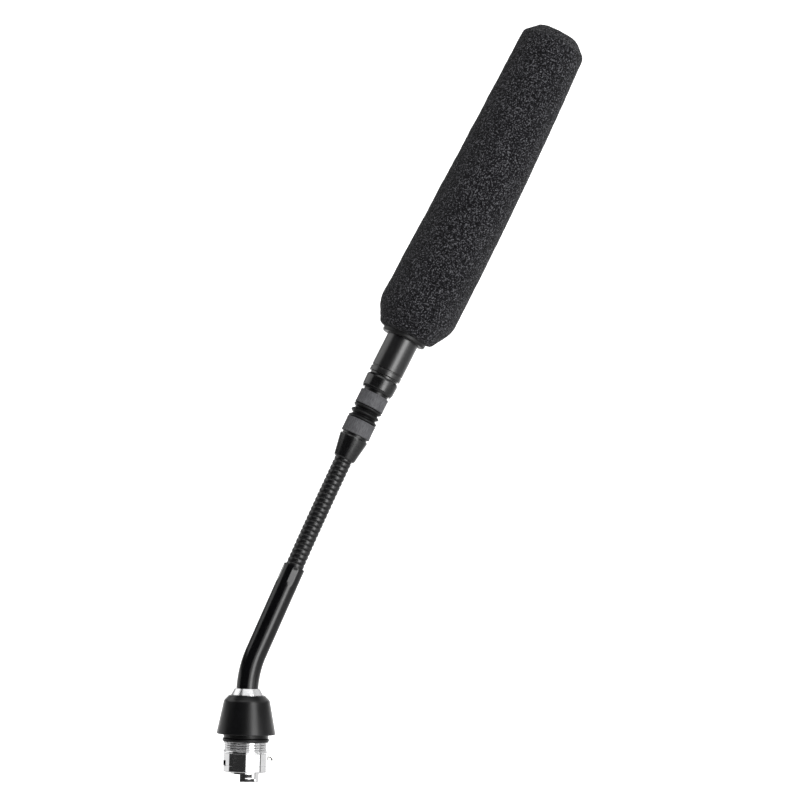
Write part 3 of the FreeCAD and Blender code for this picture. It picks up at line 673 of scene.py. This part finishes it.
def tube_centreline(low, step):
    """(point, tilt, distance left) along the bent tube's centreline, from a height to its upper end."""
    tilt = math.atan2(TUBE_TOP.up.x, TUBE_TOP.up.z)
    straight = (TUBE_TOP.origin.x - TUBE_BEND_RADIUS * (1 - math.cos(tilt))) / math.sin(tilt)
    bend_low = TUBE_TOP.origin.z - straight * math.cos(tilt) - TUBE_BEND_RADIUS * math.sin(tilt)
    total = bend_low - low + TUBE_BEND_RADIUS * tilt + straight
    count = int(math.ceil(total / step))
    line = []
    for i in range(count + 1):
        along = total * i / count
        rise = along - (bend_low - low)
        angle = min(max(rise / TUBE_BEND_RADIUS, 0.0), tilt)
        point = Vector((TUBE_BEND_RADIUS * (1 - math.cos(angle)), 0, min(low + along, bend_low)))
        point.z += TUBE_BEND_RADIUS * math.sin(angle)
        point += Vector((math.sin(tilt), 0, math.cos(tilt))) * max(rise - TUBE_BEND_RADIUS * tilt, 0.0)
        line.append((point, angle, total - along))
    return line


def swept(line, radii):
    """Rings of points round a centreline of (point, tilt) pairs; radii has one row for each ring."""
    cos, sin = circle(len(radii[0]))
    rings = []
    for (point, tilt), radius in zip(line, radii):
        side = np.array([math.cos(tilt), 0, -math.sin(tilt)])
        ring = np.array(point) + (radius * cos)[:, None] * side
        ring[:, 1] += radius * sin
        rings.append(ring)
    return rings


def crimp_fade(left):
    """How far the tube is pressed in, from 0 to 1, at a distance from its upper end."""
    fade = min(1.0, max(0.0, (CRIMP_LENGTH - left) / CRIMP_RUN_IN))
    fade *= min(1.0, max(0.0, (left - CRIMP_END_GAP) / CRIMP_RUN_OUT))
    return fade * fade * (3 - 2 * fade)


def make_tube():
    """Lacquered tube, pressed in on four sides over the neck's stem, with a rolled upper lip."""
    angle = np.arange(SEGMENTS) * 2 * np.pi / SEGMENTS
    quarter = (angle + np.pi / 4) % (np.pi / 2) - np.pi / 4
    flat = (TUBE_R - CRIMP_DEPTH) / np.cos(quarter)
    pressed = np.minimum(flat, TUBE_R) - TUBE_R
    line = tube_centreline(TUBE_LOW, TUBE_STEP)
    places = [(point, tilt, left, 1.0) for point, tilt, left in line if left > TUBE_STEP]
    for left, share in TUBE_LIP:
        places.append((TUBE_TOP.origin - TUBE_TOP.up * left, line[-1][1], left, share))
    path = [(point, tilt) for point, tilt, _, _ in places]
    radii = [(TUBE_R + pressed * crimp_fade(left)) * share for _, _, left, share in places]
    outside = swept(path, radii)
    inside = swept(path[::-1], [np.full(SEGMENTS, TUBE_BORE_R)] * len(path))
    rings = outside + inside
    tube = make_object("bent_tube", np.concatenate(rings), grid_faces(len(rings), SEGMENTS, True))
    finish_piece(tube, "base", TUBE_PAINT, "gloss_black_tube", "lower_tube")


# ---- neck ---------------------------------------------------------------------------------------

def neck_place(along):
    """(point, tilt) of the neck's centreline at a distance from the tube's end."""
    first = math.atan2(TUBE_TOP.up.x, TUBE_TOP.up.z)
    last = math.atan2(FERRULE.up.x, FERRULE.up.z)
    share = along / NECK_LENGTH
    k = int(min(max(math.floor(along / LINK - 0.5), 0), len(NECK_POINTS) - 2))
    step = NECK_POINTS[k + 1] - NECK_POINTS[k]
    point = NECK_POINTS[k] + step * (along / LINK - 0.5 - k)
    return point, first + (last - first) * share


def winding_radius(along, turn, outer):
    """Outer radius of the wound wire at each share of a turn: rounded, with narrow grooves."""
    phase = (along / NECK_PITCH - turn) % 1.0
    off = np.abs(2 * phase - 1)
    return outer - NECK_GROOVE * (1 - np.sqrt(1 - off ** NECK_SQUARENESS))


def neck_piece(name, start, end, outer=NECK_R):
    """A closed length of the neck between two distances from the tube's end."""
    steps = max(2, int(round((end - start) / NECK_PITCH * NECK_STEPS)))
    turn = np.arange(NECK_SEGMENTS) / NECK_SEGMENTS
    line = []
    radii = []
    for i in range(steps + 1):
        along = start + (end - start) * i / steps
        line.append(neck_place(along))
        radii.append(winding_radius(along, turn, outer))
    back = [line[-1], line[0]]
    rings = swept(line, radii) + swept(back, [np.full(NECK_SEGMENTS, NECK_BORE_R)] * 2)
    return make_object(name, np.concatenate(rings), grid_faces(len(rings), NECK_SEGMENTS, True))


def make_neck():
    """The winding as twelve lengths, each spanning one joint, and its two gripped ends."""
    for k in range(len(NECK_JOINTS)):
        piece = neck_piece(f"neck_winding_{k + 1:02d}", k * LINK, (k + 1) * LINK)
        ends = neck_place(k * LINK)[0], neck_place((k + 1) * LINK)[0]
        nodes = [f"neck_turns_{k:02d}"] if k else []
        finish_bending_piece(piece, NECK_BODIES[k:k + 2], ends, WIRE, "black_wound_wire", *nodes)
    lower = neck_piece("neck_stem_in_tube", -STEM_IN_TUBE, 0)
    finish_piece(lower, "base", WIRE, "black_wound_wire", "neck_lower_end")
    top = NECK_LENGTH + STEM_IN_FERRULE
    upper = neck_piece("neck_stem_in_ferrule", NECK_LENGTH, top, NECK_R - 0.6 * MM)
    finish_piece(upper, "ferrule", WIRE, "black_wound_wire", "neck_upper_end")


# ---- head ---------------------------------------------------------------------------------------

def make_ferrule():
    """Black cone on the neck's end, with a small lip at its mouth."""
    low, high, inner, outer = FERRULE.measure("neck_ferrule")
    cone = turned("ferrule_cone", FERRULE, [
        (inner, low + 0.3 * MM, 0.1 * MM),
        (outer - 1.9 * MM, low, 0.2 * MM), (outer - 1.5 * MM, low + 0.5 * MM, 0.15 * MM),
        (outer, high - 0.6 * MM, 0.2 * MM), (outer - 0.15 * MM, high, 0.15 * MM), (inner, high),
    ])
    finish_piece(cone, "ferrule", GLOSS, "gloss_black_aluminium", "neck_ferrule")


def make_band(name, node, body, axis):
    """A rubber band of the isolator, very slightly sunk between a raised rim at each edge."""
    low, high, inner, outer = axis.measure(node)
    rim = 0.5 * MM
    slope = 1.6 * rim
    dip = 0.08 * MM
    band = turned(name, axis, [
        (inner, low, 0.1 * MM), (outer, low, 0.25 * MM),
        (outer, low + rim, 0.2 * MM), (outer - dip, low + slope, 0.2 * MM),
        (outer - dip, high - slope, 0.2 * MM), (outer, high - rim, 0.2 * MM),
        (outer, high, 0.25 * MM), (inner, high, 0.1 * MM),
    ])
    finish_piece(band, body, BAND, "isolator_rubber", node)


def rib_radius(height, outer):
    """Outer radius of the ribs at a height from the isolator's middle."""
    root = outer - RIB_DEPTH
    wave = 0.5 + 0.5 * math.cos(2 * math.pi * height / RIB_PITCH)
    return root + (outer - root) * wave ** 0.8


def make_ribs():
    """Soft ribs between the bands, in two halves that meet at the isolator's middle."""
    low, high, inner, outer = FERRULE.measure("isolator_ribs")
    half = (high - low) / 2
    heights = [half * i / RIB_STEPS for i in range(RIB_STEPS + 1)]
    lower_ends = PIVOT - FERRULE.up * half, PIVOT
    upper_ends = PIVOT, PIVOT + HEAD.up * half
    for name, up, bodies, ends, sign in (
        ("ribs_lower", FERRULE.up, ("ferrule", "isolator"), lower_ends, -1),
        ("ribs_upper", HEAD.up, ("isolator", "head"), upper_ends, 1),
    ):
        section = [(rib_radius(height, outer), sign * height) for height in heights]
        section += [(inner, sign * half), (inner, 0.0)]
        ribs = lathe(name, section, Axis(PIVOT, up).matrix())
        finish_bending_piece(ribs, bodies, ends, SEAL, "isolator_rubber", "isolator_ribs")


def make_coupling():
    """Gloss ring that screws the microphone on, with chamfered ends and a fine step at its foot."""
    low, high, inner, outer = HEAD.measure("coupling_ring")
    ring = turned("coupling", HEAD, [
        (inner, low), (outer - 0.55 * MM, low, 0.15 * MM), (outer - 0.3 * MM, low + 1.0 * MM, 0.3 * MM),
        (outer - 0.15 * MM, low + 1.15 * MM, 0.1 * MM), (outer, high - 0.8 * MM, 0.15 * MM),
        (outer - 0.45 * MM, high, 0.12 * MM), (inner, high),
    ])
    finish_piece(ring, "coupling", GLOSS, "gloss_black_aluminium", "coupling_ring")


def make_body():
    """Body lip, body tube and the groove between them."""
    low, high, inner, outer = HEAD.measure("body_lip")
    tube_low, _, tube_bore, _ = HEAD.measure("body_tube")
    collar_r = outer - 0.9 * MM
    groove_r = outer - 0.5 * MM
    lip_low = low + 0.7 * MM
    lip_high = tube_low - 0.4 * MM
    spigot = tube_bore - 0.02 * MM
    lip = turned("lip_ring", HEAD, [
        (inner, low), (collar_r, low), (collar_r, lip_low),
        (outer, lip_low, 0.35 * MM), (outer, lip_high, 0.25 * MM),
        (groove_r, lip_high), (groove_r, tube_low), (spigot, tube_low), (spigot, high), (inner, high),
    ])
    finish_piece(lip, "head", ANODISED, "gloss_black_aluminium", "body_lip")

    low, high, inner, outer = HEAD.measure("body_tube")
    tube = turned("microphone_tube", HEAD, [
        (inner, low), (outer, low, 0.2 * MM), (outer, high, 0.3 * MM), (inner, high),
    ])
    finish_piece(tube, "head", ANODISED, "gloss_black_aluminium", "body_tube")


def make_screen_ring():
    """Ring at the windscreen's foot, with the sleeve that the foam is glued to."""
    low, high, inner, outer = HEAD.measure("windscreen_ring")
    face = low + 1.8 * MM
    sleeve = outer - 1.6 * MM
    ring = turned("screen_ring", HEAD, [
        (inner, low, 0.15 * MM), (outer - 0.35 * MM, low, 0.3 * MM), (outer, low + 0.6 * MM, 0.25 * MM),
        (outer, face, 0.2 * MM), (sleeve, face), (sleeve, high), (inner, high),
    ])
    finish_piece(ring, "windscreen", MATT_PLASTIC, "black_plastic", "windscreen_ring")


def foam_profile(low, high, inner):
    """Radii and heights of the foam's outside, evenly spaced from its foot almost to its tip."""
    tip = high - FOAM_TIP_DROP
    side_low = low + FOAM_MAX_RISE
    side_high = tip - FOAM_TIP_CUT
    corners = [
        (inner, low), (FOAM_BASE_R, low + FOAM_BASE_RISE, 0.9 * MM),
        (FOAM_MAX_R, side_low, 12.0 * MM), (FOAM_TIP_R, side_high, 3.4 * MM),
        (FOAM_TIP_R - FOAM_TIP_CUT, tip - 0.4 * MM, 3.4 * MM), (0.0, tip),
    ]
    outline = [Vector(p) for p in rounded(corners)]
    lengths = [0.0]
    for before, after in zip(outline, outline[1:]):
        lengths.append(lengths[-1] + (after - before).length)
    count = int(lengths[-1] / FOAM_STEP)
    wanted = np.linspace(0, lengths[-1], count + 1)[:-1]
    radii = np.interp(wanted, lengths, [p.x for p in outline])
    heights = np.interp(wanted, lengths, [p.y for p in outline])
    side = np.clip((heights - low - FOAM_MAX_RISE) / (side_high - low - FOAM_MAX_RISE), 0, 1)
    return radii + FOAM_BULGE * np.sin(np.pi * side), heights


def make_foam():
    """Foam windscreen: its surface is broken by open cells, with a bore that grips the tube."""
    low, high, _, _ = HEAD.measure("foam_windscreen")
    _, sleeve_top, _, foot = HEAD.measure("windscreen_ring")
    radii, heights = foam_profile(low, high, foot)
    cos, sin = circle(FOAM_SEGMENTS)
    share = (heights - low) / (high - low)
    bow = FOAM_BOW * np.sin(np.pi * share) + FOAM_SHIFT * np.clip(8 * share, 0, 1)
    bore_top = high - FOAM_BORE_STOP
    section = list(zip(radii, heights, bow))
    section += [(FOAM_BORE_R, bore_top, 0), (FOAM_BORE_R, sleeve_top, 0)]
    section += [(FOAM_SLEEVE_R, sleeve_top, 0), (FOAM_SLEEVE_R, low, 0)]
    rings = [np.stack([b + r * cos, r * sin, np.full(FOAM_SEGMENTS, z)], 1) for r, z, b in section]
    faces = grid_faces(len(rings), FOAM_SEGMENTS, True)
    tip_ring = (len(radii) - 1) * FOAM_SEGMENTS
    bore_ring = tip_ring + FOAM_SEGMENTS
    del faces[tip_ring:bore_ring]
    middles = [(bow[-1], 0, high - FOAM_TIP_DROP), (0, 0, bore_top)]
    points = np.concatenate([*rings, middles])
    for j in range(FOAM_SEGMENTS):
        k = (j + 1) % FOAM_SEGMENTS
        faces.append((tip_ring + j, tip_ring + k, len(points) - 2))
        faces.append((bore_ring + j, bore_ring + k, len(points) - 1))
    foam = make_object("foam_cover", points, faces, HEAD.matrix(), sharp=80.0)
    roughen_foam(foam, FOAM_SEGMENTS * len(radii))
    finish_piece(foam, "windscreen", FOAM, "foam", "foam_windscreen")


def roughen_foam(foam, count):
    """Pushes the first points in at each open cell and lets them drift a little, as cut foam does."""
    mesh = foam.data
    normals = [vertex.normal.copy() for vertex in mesh.vertices[:count]]
    places = np.empty(len(mesh.vertices) * 3)
    mesh.vertices.foreach_get("co", places)
    places = places.reshape(-1, 3)
    for k, normal in enumerate(normals):
        place = Vector(places[k])
        nearest = noise.voronoi(place / FOAM_CELL)[0][0]
        pore = max(0.0, PORE_REACH - nearest) * PORE_DEPTH * MM
        drift = sum(noise.noise(place / (size * MM)) * height * MM for size, height in WAVE_SIZES)
        places[k] += np.array(normal) * (drift - pore)
    mesh.vertices.foreach_set("co", places.ravel())
    mesh.update()


# ---- hidden cable -------------------------------------------------------------------------------

def cable_piece(name, line):
    """A closed length of cable round a line of (point, tilt)."""
    rings = swept(line, [np.full(CABLE_SEGMENTS, CABLE_R)] * len(line))
    points = np.concatenate(rings)
    faces = grid_faces(len(rings), CABLE_SEGMENTS, False)
    faces.append(tuple(range(CABLE_SEGMENTS)))
    faces.append(tuple(range(len(points) - CABLE_SEGMENTS, len(points))))
    return make_object(name, points, faces)


def bending_cable(name, line, bodies, ends):
    """A length of cable that runs between two bodies."""
    jacket = slot_material_named("cable_jacket")
    finish_bending_piece(cable_piece(name, line), bodies, ends, jacket, "cable_jacket", "signal_cable")


def straight_line(start, up, length, steps):
    """(point, tilt) along a straight run."""
    tilt = math.atan2(up.x, up.z)
    return [(start + up * length * i / steps, tilt) for i in range(steps + 1)]


def make_cable():
    """The signal cable inside: up the tube, then through the neck and the isolator into the head."""
    low = CONNECTOR.measure("signal_cable")[0]
    tube_line = [(point, tilt) for point, tilt, _ in tube_centreline(low, 2.0 * MM)]
    lower = cable_piece("cable_in_tube", tube_line)
    finish_piece(lower, "base", slot_material_named("cable_jacket"), "cable_jacket", "signal_cable")
    for k in range(len(NECK_JOINTS)):
        line = [neck_place((k + i / 4) * LINK) for i in range(5)]
        ends = line[0][0], line[-1][0]
        bending_cable(f"cable_in_neck_{k + 1:02d}", line, NECK_BODIES[k:k + 2], ends)
    line = straight_line(FERRULE.origin, FERRULE.up, (PIVOT - FERRULE.origin).length, 12)
    ends = PIVOT - FERRULE.up * CABLE_BEND_REACH, PIVOT
    bending_cable("cable_in_ferrule", line, ("ferrule", "isolator"), ends)
    line = straight_line(PIVOT, HEAD.up, CABLE_IN_HEAD, 8)
    ends = PIVOT, PIVOT + HEAD.up * CABLE_BEND_REACH
    bending_cable("cable_in_head", line, ("isolator", "head"), ends)


# ---- camera, light and backdrop -----------------------------------------------------------------

VIEW_AZIMUTH = math.radians(-13.2)
VIEW_DISTANCE = 2.04
VIEW_TARGET = Vector((0.06124, 0.0, 0.14002))
VIEW_ROLL = math.radians(1.7)
VIEW_LENS = 220.3

PANELS = {  # turn and rise in degrees, distance, width, height, radiance
    "key_strip": (33, 3, 1.0, 0.46, 1.3, 4.2),
    "key_level": (42, -6.5, 1.4, 2.2, 0.42, 1.5),
    "right_level": (122, -8, 1.1, 1.5, 0.4, 0.8),
    "left_upper": (-104, 31, 1.0, 1.0, 0.55, 1.2),
    "left_level": (-127, -8, 1.1, 1.8, 0.4, 0.85),
    "overhead": (8, 62, 1.0, 1.5, 0.8, 1.1),
    "right_upper": (108, 33, 1.1, 1.4, 0.7, 0.7),
}

FLOOR_DROP = 0.14         # below the part's lowest point
FLOOR_NEAR = -0.9         # from the part, away from the camera
WALL_FAR = 1.2
WALL_TOP = 1.6
WALL_BEND = 0.4
BACKDROP_HALF = 1.05
BACKDROP_COLUMNS = 24
BEND_STEPS = 12

RIGHT = Vector((math.cos(VIEW_AZIMUTH), math.sin(VIEW_AZIMUTH), 0))
AHEAD = Vector((-math.sin(VIEW_AZIMUTH), math.cos(VIEW_AZIMUTH), 0))
UP = Vector((0, 0, 1))


def make_camera():
    """The photo's view: level, and turned a little about its own axis."""
    data = bpy.data.cameras.new("camera")
    data.lens = VIEW_LENS
    data.sensor_width = 36
    data.clip_end = 20
    camera = bpy.data.objects.new("camera", data)
    bpy.context.scene.collection.objects.link(camera)
    across = RIGHT * math.cos(VIEW_ROLL) + UP * math.sin(VIEW_ROLL)
    upward = UP * math.cos(VIEW_ROLL) - RIGHT * math.sin(VIEW_ROLL)
    turn = Matrix((across, upward, -AHEAD)).transposed().to_4x4()
    camera.matrix_world = Matrix.Translation(VIEW_TARGET - AHEAD * VIEW_DISTANCE) @ turn
    bpy.context.scene.camera = camera


def make_panel(name, turn, rise, distance, width, height, radiance):
    """A softbox seen from the object at an angle right of the camera and above the horizon."""
    data = bpy.data.lights.new(name, "AREA")
    data.shape = "RECTANGLE"
    data.size = width
    data.size_y = height
    data.energy = radiance * math.pi * width * height
    light = bpy.data.objects.new(name, data)
    light.visible_camera = False
    bpy.context.scene.collection.objects.link(light)
    turn = math.radians(turn)
    rise = math.radians(rise)
    level = -AHEAD * math.cos(turn) + RIGHT * math.sin(turn)
    away = level * math.cos(rise) + UP * math.sin(rise)
    across = UP.cross(away).normalized()
    turned_to = Matrix((across, away.cross(across), away)).transposed().to_4x4()
    light.matrix_world = Matrix.Translation(VIEW_TARGET + away * distance) @ turned_to


def make_world():
    """White where the camera looks past the floor, and nearly dark in reflections."""
    world = bpy.data.worlds.new("studio")
    world.use_nodes = True
    tree = world.node_tree
    dark = tree.nodes["Background"]
    dark.inputs["Color"].default_value = (0.03, 0.03, 0.03, 1)
    pale = tree.nodes.new("ShaderNodeBackground")
    pale.inputs["Color"].default_value = (1, 1, 1, 1)
    path = tree.nodes.new("ShaderNodeLightPath")
    mix = tree.nodes.new("ShaderNodeMixShader")
    tree.links.new(path.outputs["Is Camera Ray"], mix.inputs["Fac"])
    tree.links.new(dark.outputs["Background"], mix.inputs[1])
    tree.links.new(pale.outputs["Background"], mix.inputs[2])
    tree.links.new(mix.outputs["Shader"], tree.nodes["World Output"].inputs["Surface"])
    bpy.context.scene.world = world


def make_lights():
    for name, values in PANELS.items():
        make_panel(name, *values)


def backdrop_profile():
    """(distance ahead, height) along the floor, round the bend and up the wall."""
    floor = min(corner[2] for corner in cad_box) - FLOOR_DROP
    profile = [(FLOOR_NEAR, floor), (WALL_FAR - WALL_BEND, floor)]
    for step in range(1, BEND_STEPS + 1):
        angle = math.pi / 2 * step / BEND_STEPS
        forward = WALL_FAR - WALL_BEND + WALL_BEND * math.sin(angle)
        profile.append((forward, floor + WALL_BEND * (1 - math.cos(angle))))
    return profile + [(WALL_FAR, WALL_TOP)]


def make_backdrop():
    """Pale floor that curves up into a wall behind, which glows round the object's outline."""
    profile = backdrop_profile()
    points = []
    for forward, height in profile:
        for k in range(BACKDROP_COLUMNS + 1):
            across = 2 * BACKDROP_HALF * k / BACKDROP_COLUMNS - BACKDROP_HALF
            place = AHEAD * forward + RIGHT * across
            points.append((place.x, place.y, height - VIEW_TARGET.z))
    wide = BACKDROP_COLUMNS + 1
    faces = []
    for i in range(len(profile) - 1):
        for k in range(BACKDROP_COLUMNS):
            low = i * wide + k
            faces.append((low, low + 1, low + wide + 1, low + wide))
    backdrop = make_object("backdrop", points, faces, Matrix.Translation(VIEW_TARGET))
    shader = Shader("pale_backdrop", roughness=0.9)
    tone = shader.ramp(shader.noise(3, 2), (0.3, (0.7, 0.7, 0.7)), (0.7, (0.74, 0.74, 0.74)))
    off = shader.add("ShaderNodeVectorMath")
    off.operation = "DISTANCE"
    shader.link(shader.place, off.inputs[0])
    off.inputs[1].default_value = AHEAD * WALL_FAR
    glow = shader.ramp(shader.math("MULTIPLY", off.outputs["Value"], 0.5), (0.22, 1.0), (0.5, 0.0))
    shader.surface.inputs["Emission Color"].default_value = (1, 1, 1, 1)
    backdrop.data.materials.append(shader.use(Base_Color=tone, Emission_Strength=glow))


finish_frame()
make_thread()
make_collar()
make_tongue_shade_strips()
make_nut()
make_tube()
make_neck()
make_ferrule()
make_band("band_lower", "isolator_lower_band", "ferrule", FERRULE)
make_ribs()
make_band("band_upper", "isolator_upper_band", "head", HEAD)
make_coupling()
make_body()
make_screen_ring()
make_foam()
make_cable()
make_camera()
make_world()
make_lights()
make_backdrop()
bpy.context.scene.view_settings.view_transform = "Standard"
